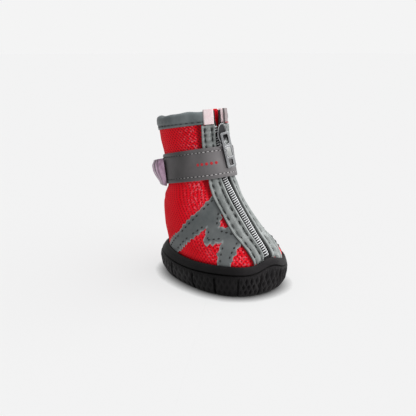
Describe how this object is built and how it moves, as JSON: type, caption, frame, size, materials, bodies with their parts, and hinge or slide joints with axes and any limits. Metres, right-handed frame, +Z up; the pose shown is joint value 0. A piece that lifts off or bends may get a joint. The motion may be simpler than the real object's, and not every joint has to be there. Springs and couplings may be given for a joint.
{
  "type": "dog boot",
  "caption": "Ankle-high dog boot: rubber cup sole, hollow mesh upper with a front zip, leather plackets, bound collar and ankle strap.",
  "frame": {"origin": "on the floor, in the middle of the boot's bounding box", "axes": "+Z up, -Y towards the toe, +X to the right of someone who looks from the toe to the heel"},
  "size_m": [0.058, 0.0944, 0.0951],
  "materials": {
    "sole_rubber": "matt moulded black rubber",
    "insole_foam": "black foam under knitted cloth",
    "air_mesh": "red two layer air mesh with small holes",
    "gusset_mesh": "red air mesh",
    "zip_tape": "black woven tape",
    "zip_chain": "silver coil teeth",
    "binding_leather": "grey synthetic leather",
    "strap_leather": "dark grey synthetic leather",
    "placket_leather": "grey synthetic leather",
    "lilac_ribbon": "shiny reflective ribbon",
    "silver_ribbon": "shiny reflective ribbon",
    "nickel": "nickel plated zinc"
  },
  "bodies": {
    "boot": {"outsole": "sole_rubber", "insole": "insole_foam", "upper": "air_mesh", "gusset": "gusset_mesh", "zip_tape": "zip_tape", "zip_chain": "zip_chain", "collar_binding": "binding_leather", "strap": "strap_leather", "strap_loop": "lilac_ribbon", "zip_slider": "nickel", "placket_left": "placket_leather", "zip_end_left": "zip_tape", "collar_cap_left": "silver_ribbon", "placket_right": "placket_leather", "zip_end_right": "zip_tape", "collar_cap_right": "silver_ribbon"},
    "pull": {"zip_pull": "nickel"}
  },
  "joints": [
    {"name": "pull_swing", "type": "hinge", "parent": "boot", "child": "pull", "pos_m": [0, -0.00767, 0.08197], "axis": [-1, 0, 0], "range_deg": [0, 165]}
  ]
}
